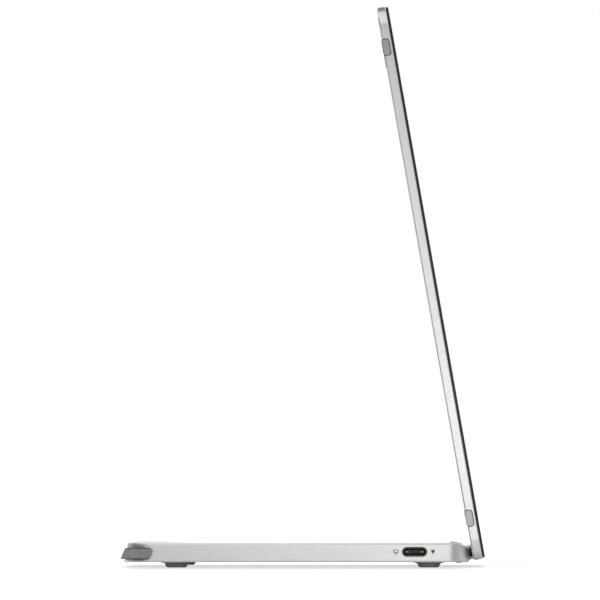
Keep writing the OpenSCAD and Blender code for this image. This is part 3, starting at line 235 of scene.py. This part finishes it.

# The rubber parts: roughness, the range of the pebbles' distances, and the tone of the painted
# light on the lower pads as a share of the light rubber's. Then their borders of painted shade:
# the tone as a share of the dark rubber's, and how far inside the outline they are gone and full.
RUBBER_ROUGHNESS = (0.62, 0.8)
PEBBLE_RANGE = (0.0, 0.9)
LIGHT_PAINT_TONE = 1.4
RIM_SHADE_TONE = 0.3
GRIP_RIM = (0.42 * MM, 0.12 * MM)
PAD_RIM = (0.42 * MM, 0.14 * MM)

# The cover glass: how far its black print covers the display, the soft edge of that
# print, and the tones of print and display. Then the part of its smears that is spread
# over the face's roughness, and what the cut edge adds to it, from where to where the
# surface turns away from the screen's own direction.
PRINT_LAP, PRINT_SOFT = 1.8 * MM, 0.2 * MM
PRINT_TONE, DISPLAY_TONE = 0.0045, (0.011, 0.012, 0.0145)
SMEAR_RANGE, FACE_ROUGHNESS = (0.35, 0.75), (0.045, 0.10)
EDGE_TURN, EDGE_ROUGHNESS = (0.9, 0.6), 0.33


def anodised():
    """Bead-blasted and clear-anodised aluminium: a fine, even grain. Painted shade darkens it
    beside the end grip and along the panel's back edge.
    """
    look = Look("anodised_aluminium", metallic=1.0)
    grain = look.noise(size=0.22 * MM, detail=2.0)
    cloud = look.noise(size=28 * MM, detail=2.0)
    shares = look.product(grain, GRAIN_SHARE), look.product(cloud, CLOUD_SHARE)
    mixed = look.math("ADD", *shares)
    metal = look.mottle(mixed, METAL_TONE * METAL_DULL, toned(METAL_BRIGHT, METAL_TONE))
    # painted shade on the lips above and below the end grip
    metal = look.blend(painted_seat_shade(look), metal, SEAT_SHADE_TONE * METAL_TONE)
    # painted shade along the panel's back edge
    look.colour(look.blend(painted_back_shade(look), metal, LINE_SHADE_TONE * METAL_TONE))
    look.rough(look.spread(grain, *METAL_RANGE, to=METAL_ROUGHNESS))
    look.bump(grain, depth=0.006 * MM)
    return look.mat


def painted_seat_shade(look):
    """Painted shade on the metal beside the end grip, on the lips above and below it: it starts
    at the grip's inner end and stops short of the base's top, bottom and far end."""
    _, y, z = look.axes(look.place)
    return look.product(
        look.spread(y, *(GRIP_LOW[1] + reach for reach in SEAT_INNER)),
        look.spread(y, *(GRIP_HIGH[1] - reach for reach in SEAT_OUTER)),
        look.spread(z, *(GRIP_LOW[2] - reach for reach in SEAT_BELOW)),
        look.spread(z, *(GRIP_HIGH[2] + reach for reach in SEAT_ABOVE)),
    )


def painted_back_shade(look):
    """A hairline of painted shade on the panel tray's two sides, where the wall turns to the back."""
    backwards = -Vector(PANEL_NORMAL)
    tray = frame["nodes"]["panel_tray"].data.vertices
    depth = max((v.co - Vector(HINGE)).dot(backwards) for v in tray)
    x, _, z = look.axes(panel_place(look))
    line = look.band(z, LINE_IN - depth, LINE_HALF, LINE_SOFT)
    sides = look.spread(look.math("ABSOLUTE", x), *(RIGHT_SIDE - reach for reach in LINE_SIDE))
    return look.product(line, sides)


def rubber(name, dark, light, rim=None, painted_light=None):
    """Moulded elastomer with a fine spark-eroded texture and a little bloom. One mask gives its
    border, which painted shade of the groove around it makes darker; the other gives where
    painted light makes it paler."""
    look = Look(name, specular=0.35)
    pebble = look.cells(size=0.34 * MM)
    cloud = look.noise(size=7 * MM, detail=4.0)
    body = look.mottle(cloud, dark, light)
    # painted light, paler where the mask is full
    if painted_light:
        body = look.blend(painted_light(look), body, LIGHT_PAINT_TONE * light)
    # painted shade along the border
    if rim:
        body = look.blend(rim(look), body, RIM_SHADE_TONE * dark)
    look.colour(body)
    look.rough(look.spread(cloud, *CLOUD_RANGE, to=RUBBER_ROUGHNESS))
    look.bump(look.spread(pebble, *PEBBLE_RANGE), depth=0.02 * MM, strength=0.6)
    return look.mat


def grip_rim_shade(look):
    """The two long edges of the end grip, next to the lips of its seat, darkened by painted shade."""
    height = look.axes(look.place)[2]
    from_middle = look.away(height, (GRIP_LOW[2] + GRIP_HIGH[2]) / 2)
    half = (GRIP_HIGH[2] - GRIP_LOW[2]) / 2
    return look.spread(from_middle, *(half - reach for reach in GRIP_RIM))


def pad_rim_shade(look):
    """The border of the four side pads, which painted shade darkens. A pad is all that lies
    within PAD_ROUND of an inner rectangle, so the distance to that rectangle gives its
    border. The lower and the upper pads mirror each other about the middle between them."""
    up = Vector((math.cos(PANEL_LEAN), math.sin(PANEL_LEAN)))
    out = Vector((-math.sin(PANEL_LEAN), math.cos(PANEL_LEAN)))
    middles = []
    for low, high in (LOW_PAD, HIGH_PAD):
        y = (low[1] + high[1]) / 2 - HINGE[1]
        z = (low[2] + high[2]) / 2 - HINGE[2]
        middles.append(Vector((y, z)))
    centre = sum(middle.dot(up) for middle in middles) / 2
    reach = abs(middles[1].dot(up) - middles[0].dot(up)) / 2
    depth = middles[0].dot(out)
    _, y, z = look.axes(panel_place(look))
    along = look.away(look.away(y, centre), reach)
    across = look.away(z, depth)
    squares = []
    for value, size in ((along, PAD_LONG), (across, PAD_WIDE)):
        past = look.math("MAXIMUM", look.math("SUBTRACT", value, size / 2 - PAD_ROUND), 0.0)
        squares.append(look.product(past, past))
    distance = look.math("SQRT", look.math("ADD", *squares))
    return look.spread(distance, *(PAD_ROUND - inside for inside in PAD_RIM))


def pad_painted_light(look):
    """The lower pads and not the upper ones: painted light that makes them paler than those,
    for the brighter light lower down.
    """
    height = look.axes(look.place)[2]
    return look.spread(height, HIGH_PAD[0][2], LOW_PAD[1][2])


def plastic(name, colour, roughness=(0.42, 0.55), grain=0.3):
    """Moulded plastic with a fine etched grain, whose size is in mm."""
    look = Look(name, specular=0.45)
    fine = look.noise(size=grain * MM)
    cloud = look.noise(size=9 * MM)
    look.colour(look.mottle(cloud, dark=toned(colour, 0.88), light=toned(colour, 1.1)))
    look.rough(look.spread(fine, *GRAIN_RANGE, to=roughness))
    look.bump(fine, depth=0.008 * MM, strength=0.5)
    return look.mat


def steel(name, tone, roughness=(0.22, 0.36), stretch=(1, 1, 1), line=0.3):
    """Plated metal with the fine lines of its drawing or turning, line mm wide."""
    look = Look(name, metallic=1.0)
    lines = look.noise(size=line * MM, detail=4.0, stretch=stretch)
    cloud = look.noise(size=6 * MM)
    look.colour(look.mottle(cloud, dark=toned(tone, 0.9), light=tone))
    look.rough(look.spread(lines, *GRAIN_RANGE, to=roughness))
    look.bump(lines, depth=0.004 * MM, strength=0.5)
    return look.mat


def film(name, colour, roughness=(0.3, 0.5), ripple=3.0):
    """Thin sheet or film, with faint ripples of the given size in mm."""
    look = Look(name)
    waves = look.noise(size=ripple * MM, detail=2.0)
    look.colour(look.mottle(waves, dark=toned(colour, 0.93), light=colour))
    look.rough(look.spread(waves, *CLOUD_RANGE, to=roughness))
    look.bump(waves, depth=0.03 * MM, strength=0.3)
    return look.mat


def glass():
    """Cover glass printed black behind its border; the display behind the middle is
    off, a touch greyer and bluer than the print."""
    look = Look("cover_glass")
    half_width = (CELL_HIGH[0] - CELL_LOW[0]) / 2 - PRINT_LAP
    run = (CELL_HIGH[2] - CELL_LOW[2]) / math.sin(PANEL_LEAN)
    middle = ((CELL_HIGH[2] + CELL_LOW[2]) / 2 - HINGE[2]) / math.sin(PANEL_LEAN)
    x, y, _ = look.axes(panel_place(look))
    inside = look.product(
        look.band(x, 0.0, half_width, PRINT_SOFT),
        look.band(y, middle, run / 2 - PRINT_LAP, PRINT_SOFT),
    )
    look.colour(look.blend(inside, PRINT_TONE, DISPLAY_TONE))
    # the face is polished and a little smeared, the cut edge is ground
    normal = look.add("ShaderNodeNewGeometry").outputs["Normal"]
    inputs = {0: normal, 1: PANEL_NORMAL}
    facing = look.add("ShaderNodeVectorMath", inputs, operation="DOT_PRODUCT").outputs["Value"]
    smear = look.noise(size=45 * MM, detail=5.0, roughness=0.6)
    face = look.spread(smear, *SMEAR_RANGE, to=FACE_ROUGHNESS)
    edge = look.product(look.spread(facing, *EDGE_TURN), EDGE_ROUGHNESS)
    look.rough(look.math("ADD", face, edge))
    look.bump(look.noise(size=60 * MM, detail=1.0), depth=0.004 * MM, strength=0.2)
    return look.mat


def circuit():
    """Solder mask over copper tracks: rows of long cells with lines between them."""
    look = Look("circuit_board", coat=0.2)
    tracks = look.add(
        "ShaderNodeTexBrick",
        {
            "Vector": look.scaled(size=2.4 * MM),
            "Scale": 1.0,
            "Mortar Size": 0.16,
            "Brick Width": 1.7,
            "Row Height": 0.45,
            "Color1": (0.006, 0.055, 0.03, 1),
            "Color2": (0.008, 0.07, 0.036, 1),
            "Mortar": (0.02, 0.125, 0.062, 1),
        },
    )
    look.colour(tracks.outputs["Color"])
    look.rough(look.spread(look.noise(size=1.2 * MM), *CLOUD_RANGE, to=(0.28, 0.42)))
    look.bump(tracks.outputs["Fac"], depth=0.02 * MM, strength=0.6)
    return look.mat


GOLD = (0.83, 0.62, 0.26)
IVORY = (0.75, 0.72, 0.62)
AMBER = (0.7, 0.58, 0.25)
WHITE_FILM = (0.78, 0.78, 0.76)
CLEAR = (0.85, 0.87, 0.88)
ACRYLIC = (0.82, 0.86, 0.88)
DARK_CELL = (0.02, 0.022, 0.026)

LOOKS = {
    "anodised_aluminium": anodised(),
    "grip_rubber": rubber("grip_rubber", 0.28, 0.335, rim=grip_rim_shade),
    "pad_rubber": rubber("pad_rubber", 0.43, 0.49, rim=pad_rim_shade, painted_light=pad_painted_light),
    "foot_rubber": rubber("foot_rubber", 0.32, 0.37),
    "bezel_plastic": plastic("bezel_plastic", 0.13),
    "black_plastic": plastic("black_plastic", 0.014),
    "plated_steel": steel("plated_steel", 0.55, stretch=(0.15, 1, 1)),
    "screw_steel": steel("screw_steel", 0.5, roughness=(0.28, 0.42), line=0.15),
    "contact_gold": steel("contact_gold", GOLD, roughness=(0.18, 0.28), line=0.1),
    "circuit_board": circuit(),
    "chip_black": plastic("chip_black", 0.02, roughness=(0.5, 0.65), grain=0.12),
    "socket_plastic": plastic("socket_plastic", IVORY, roughness=(0.4, 0.5)),
    "ribbon_film": film("ribbon_film", WHITE_FILM),
    "cable_film": film("cable_film", 0.03, roughness=(0.25, 0.4)),
    "cover_glass": glass(),
    "bond_film": film("bond_film", CLEAR, roughness=(0.1, 0.2), ripple=12),
    "cell_glass": film("cell_glass", DARK_CELL, roughness=(0.1, 0.18), ripple=20),
    "optical_sheet": film("optical_sheet", 0.86, roughness=(0.5, 0.65), ripple=15),
    "guide_acrylic": film("guide_acrylic", ACRYLIC, roughness=(0.08, 0.16), ripple=18),
    "led_flex": film("led_flex", AMBER, roughness=(0.35, 0.5), ripple=4),
}

for node in frame["nodes"].values():
    for slot in node.material_slots:
        slot.material = LOOKS[slot.material.name.split(".")[0]]


# ------------------------------------------------------- prints by the ports

# How far the ink stands proud of the metal and reaches into it, and how far the middle
# of each sign lies from the middle of the port.
INK_HEIGHT, INK_SINK = 0.012 * MM, 0.004 * MM
SCREEN_SIGN_GAP = 6.9 * MM
PLUG_SIGN_GAP = 6.75 * MM
ARC_STEPS = 10


def print_ink():
    look = Look("print_ink", specular=0.3)
    speck = look.noise(size=0.12 * MM)
    look.colour(look.mottle(speck, dark=0.035, light=0.07))
    look.rough(look.spread(speck, *CLOUD_RANGE, to=(0.5, 0.7)))
    look.bump(speck, depth=0.004 * MM, strength=0.5)
    return look.mat


INK = print_ink()


def slabs(name, outlines, centre, side):
    """Thin raised ink: each outline is a loop of corners (right, up) in mm, as seen by
    someone who faces that side."""
    mesh = bpy.data.meshes.new(name)
    build = bmesh.new()
    wall = LEFT_SIDE if side < 0 else RIGHT_SIDE
    for loop in outlines:
        ring_low, ring_high = [], []
        for right, up in loop:
            y, z = centre[0] + side * right * MM, centre[1] + up * MM
            ring_low.append(build.verts.new((wall - side * INK_SINK, y, z)))
            ring_high.append(build.verts.new((wall + side * INK_HEIGHT, y, z)))
        build.faces.new(ring_high)
        build.faces.new(list(reversed(ring_low)))
        for i in range(len(loop)):
            j = (i + 1) % len(loop)
            build.faces.new((ring_low[i], ring_low[j], ring_high[j], ring_high[i]))
    bmesh.ops.recalc_face_normals(build, faces=build.faces)
    build.to_mesh(mesh)
    build.free()
    piece = bpy.data.objects.new(name, mesh)
    bpy.context.scene.collection.objects.link(piece)
    mesh.materials.append(INK)
    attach(piece, "base")


def bar(left, bottom, right, top):
    return [(left, bottom), (right, bottom), (right, top), (left, top)]


def arc(middle, radius, start, stop):
    """Points round a middle (right, up), from one angle in degrees to another."""
    points = []
    for i in range(ARC_STEPS + 1):
        turn = math.radians(start + (stop - start) * i / ARC_STEPS)
        points.append((middle[0] + radius * math.cos(turn), middle[1] + radius * math.sin(turn)))
    return points


def screen_sign():
    """A plain display outline on a stand."""
    line = 0.24
    half, bottom, top = 0.9, -0.35, 0.8
    neck_half, foot_half, foot_top = 0.12, 0.5, -0.62
    return [
        bar(-half, bottom, -half + line, top),
        bar(half - line, bottom, half, top),
        bar(-half + line, top - line, half - line, top),
        bar(-half + line, bottom, half - line, bottom + line),
        bar(-neck_half, foot_top, neck_half, bottom),
        bar(-foot_half, foot_top - line, foot_half, foot_top),
    ]


def plug_sign():
    """A plain power plug with two pins and its lead."""
    half, top, waist = 0.68, 0.55, 0.3
    pin_in, pin_out, pin_top = 0.2, 0.42, 1.02
    lead_half, lead_top, lead_end = 0.12, -0.38, -1.05
    bowl = arc((0.0, 0.22), radius=0.62, start=180, stop=360)
    return [
        bar(-pin_out, top, -pin_in, pin_top),
        bar(pin_in, top, pin_out, pin_top),
        [(half, top), (-half, top), (-half, waist)] + bowl + [(half, waist)],
        bar(-lead_half, lead_end, lead_half, lead_top),
    ]


for side, tag in ((-1, "left"), (1, "right")):
    slabs(f"screen_print_{tag}", screen_sign(), (PORT_Y - side * SCREEN_SIGN_GAP, PORT_Z), side)
    slabs(f"plug_print_{tag}", plug_sign(), (PORT_Y + side * PLUG_SIGN_GAP, PORT_Z), side)


# ------------------------------------------------------- floor and world

WHITE = (1, 1, 1, 1)

# The floor, in metres: how far it reaches, where it begins to fall on the camera's side
# and on the far side, the run and the depth of the fall, how many runs it is followed
# for, and in how many steps.
FLOOR_REACH = 14.0
FALL_START, FAR_FALL_START = 0.158, 0.4
FALL_RUN, FALL_DEPTH = 0.010, 0.0025
FALL_RUNS, FALL_STEPS = 6, 30

# Its tone, how much it glows near the part, from where to where it goes to full white,
# and how much of that white metal and glass mirror.
FLOOR_TONE = 0.58
FLOOR_GLOW = 0.58
GLOW_NEAR, GLOW_FAR = 0.3, 1.2
MIRROR_SHARE = 0.28

# The studio's levels of light.
WORLD_LIGHT = 0.6
WALL_LIGHT, WALL_DARK = 0.19, 0.05
SCREEN_LIGHT = 0.45
BOX_LIGHT = 1.0
RING_LIGHT = 0.65

# Where these levels change, as parts x, y and z of a direction of length 1: the left
# side is at x = -1, the side before the screen at y = -1.
WALL_MIDDLE, WALL_SPREAD = -0.04, (0.1, 0.45)
SCREEN_FADE = (-0.97, -0.8)
BOX_SPREAD, BOX_RISE, BOX_END = (0.24, 0.46), (0.05, 0.4), (-0.05, 0.5)
RING_SPREAD, RING_RISE = (0.3, 0.6), (0.15, 0.4)
BACKDROP_SIDE, BACKDROP_TOP = (0.0, 0.35), (0.4, 0.75)


def floor_fall(start):
    """The floor's outline, as (distance, height), from where it begins to fall to its
    edge."""
    steps = [(i / FALL_STEPS) ** 2 for i in range(FALL_STEPS + 1)]
    points = []
    for step in steps:
        distance = start + FALL_RUNS * FALL_RUN * step
        points.append((distance, -FALL_DEPTH * (1 - math.exp(-FALL_RUNS * step))))
    return points + [(FLOOR_REACH, -FALL_DEPTH)]


def stage_floor():
    """A pale floor, level under the part. It falls a little in front of it, so that a
    camera at table height sees the soft shadow there, and again far behind it."""
    front = [(-x, z) for x, z in reversed(floor_fall(FALL_START))]
    profile = front + floor_fall(FAR_FALL_START)
    verts = [(x, y, z) for x, z in profile for y in (-FLOOR_REACH, FLOOR_REACH)]
    faces = [(2 * i, 2 * i + 2, 2 * i + 3, 2 * i + 1) for i in range(len(profile) - 1)]
    mesh = bpy.data.meshes.new("floor")
    mesh.from_pydata(verts, [], faces)
    for face in mesh.polygons:
        face.use_smooth = True
    floor = bpy.data.objects.new("floor", mesh)
    bpy.context.scene.collection.objects.link(floor)
    mesh.materials.append(floor_material())


def floor_material():
    """A dull pale surface with a glow that makes it white to the camera: fully far away,
    and near the part only as much as leaves its shadow."""
    mat = bpy.data.materials.new("floor")
    mat.use_nodes = True
    mat.node_tree.nodes.clear()
    tree = Nodes(mat.node_tree)
    ray = tree.add("ShaderNodeLightPath").outputs
    seen = tree.math("MAXIMUM", ray["Is Camera Ray"], ray["Is Transmission Ray"])
    mirrored = tree.math("MULTIPLY", ray["Is Glossy Ray"], MIRROR_SHARE)
    shown = tree.math("MAXIMUM", seen, mirrored)
    place = tree.add("ShaderNodeTexCoord").outputs["Object"]
    distance = tree.add("ShaderNodeVectorMath", {0: place}, operation="LENGTH").outputs["Value"]
    level = tree.ease(distance, GLOW_NEAR, GLOW_FAR, to=(FLOOR_GLOW, 1.0))
    strength = tree.math("MULTIPLY", shown, level)
    glow = tree.add("ShaderNodeEmission", {"Color": WHITE, "Strength": strength})
    pale = tree.add("ShaderNodeBsdfDiffuse", {"Color": (FLOOR_TONE, FLOOR_TONE, FLOOR_TONE, 1)})
    both = tree.add("ShaderNodeAddShader", {0: pale.outputs[0], 1: glow.outputs[0]})
    tree.add("ShaderNodeOutputMaterial", {"Surface": both.outputs[0]})
    return mat


def world():
    """White to the camera and an even grey to dull surfaces. Metal and glass mirror a
    studio: a white backdrop behind the part, plain walls, a lighter room above eye
    level, and a long soft box that hangs over the part."""
    scene_world = bpy.data.worlds.new("studio")
    bpy.context.scene.world = scene_world
    scene_world.use_nodes = True
    scene_world.node_tree.nodes.clear()
    tree = Nodes(scene_world.node_tree)
    x, y, z = tree.axes(tree.add("ShaderNodeTexCoord").outputs["Generated"])
    ray = tree.add("ShaderNodeLightPath").outputs
    # walls: plain grey to the left and right, darker before and behind the part, and
    # light where the screen faces
    walls = tree.math(
        "ADD",
        tree.ease(tree.away(y, WALL_MIDDLE), *WALL_SPREAD, to=(WALL_LIGHT, WALL_DARK)),
        tree.ease(y, *SCREEN_FADE, to=(SCREEN_LIGHT, 0.0)),
    )
    # long soft box above, from low on the left side to a little past the middle
    beside = tree.math("ABSOLUTE", y)
    box = tree.product(
        tree.ease(beside, *BOX_SPREAD, to=(1.0, 0.0)),
        tree.ease(z, *BOX_RISE),
        tree.ease(x, *BOX_END, to=(1.0, 0.0)),
        BOX_LIGHT,
    )
    # the room above eye level, lighter on both sides of the box
    ring = tree.product(
        tree.ease(beside, *RING_SPREAD),
        tree.ease(z, *RING_RISE, to=(0.0, RING_LIGHT)),
    )
    studio = tree.math("MAXIMUM", tree.math("ADD", walls, ring), box)
    backdrop = tree.product(
        tree.ease(x, *BACKDROP_SIDE),
        tree.ease(z, *BACKDROP_TOP, to=(1.0, 0.0)),
    )
    mirrored = tree.math("MAXIMUM", studio, backdrop)
    seen = tree.math("MAXIMUM", ray["Is Camera Ray"], ray["Is Transmission Ray"])
    plain = tree.ease(ray["Is Glossy Ray"], 0.0, 1.0, to=(WORLD_LIGHT, mirrored))
    level = tree.ease(seen, 0.0, 1.0, to=(plain, 1.0))
    back = tree.add("ShaderNodeBackground", {"Color": WHITE, "Strength": level})
    tree.add("ShaderNodeOutputWorld", {"Surface": back.outputs[0]})


stage_floor()
world()


# ------------------------------------------------------- lamps and camera


def lamp(name, place, target, width, height, power):
    light = bpy.data.lights.new(name, "AREA")
    light.shape = "RECTANGLE"
    light.size, light.size_y = width, height
    light.energy = power
    holder = bpy.data.objects.new(name, light)
    holder.location = place
    holder.rotation_mode = "QUATERNION"
    holder.rotation_quaternion = (Vector(target) - Vector(place)).to_track_quat("-Z", "Y")
    holder.visible_camera = False
    bpy.context.scene.collection.objects.link(holder)
    return holder


overhead = lamp("overhead", (0.0, 0.0, 1.6), (0, 0, 0), width=1.8, height=1.8, power=14)
overhead.visible_glossy = False

# Two soft boxes on each side, for the grade of light along the metal sides: how far from
# the part's middle they stand and aim, in metres.
BOX_AWAY, BOX_AIM = 0.56, 0.16
for side in (-1, 1):
    for tag, y, z, width, height, power in (
        ("low", -0.105, 0.034, 0.12, 0.09, 0.053),
        ("tall", 0.0, 0.095, 0.11, 0.18, 0.051),
    ):
        place, target = (side * BOX_AWAY, y, z), (side * BOX_AIM, y, z)
        lamp(f"{tag}_box_{side}", place, target, width, height, power)

# The camera stands far off the left side, in the plane of the open panel and a little
# above the base, as the photograph's does: neither the screen nor the panel's back
# shows, and of the base's top only a thin band. HALF_WIDTH is half the width of what it
# sees at its aim.
VIEW_DISTANCE = 10.0
EYE = Vector((LEFT_SIDE - VIEW_DISTANCE, -58.8 * MM, 34.0 * MM))
AIM = Vector((LEFT_SIDE, 0.95 * MM, 98.1 * MM))
HALF_WIDTH = 110.02 * MM
SENSOR_WIDTH = 36.0
CLIP_START, CLIP_END = 0.5, 60.0
camera = bpy.data.objects.new("camera", bpy.data.cameras.new("camera"))
bpy.context.scene.collection.objects.link(camera)
camera.location = EYE
camera.rotation_mode = "QUATERNION"
camera.rotation_quaternion = (AIM - EYE).to_track_quat("-Z", "Y")
camera.data.sensor_width = SENSOR_WIDTH
camera.data.lens = SENSOR_WIDTH / 2 * (AIM - EYE).length / HALF_WIDTH
camera.data.clip_start, camera.data.clip_end = CLIP_START, CLIP_END
bpy.context.scene.camera = camera
bpy.context.scene.view_settings.view_transform = "Standard"
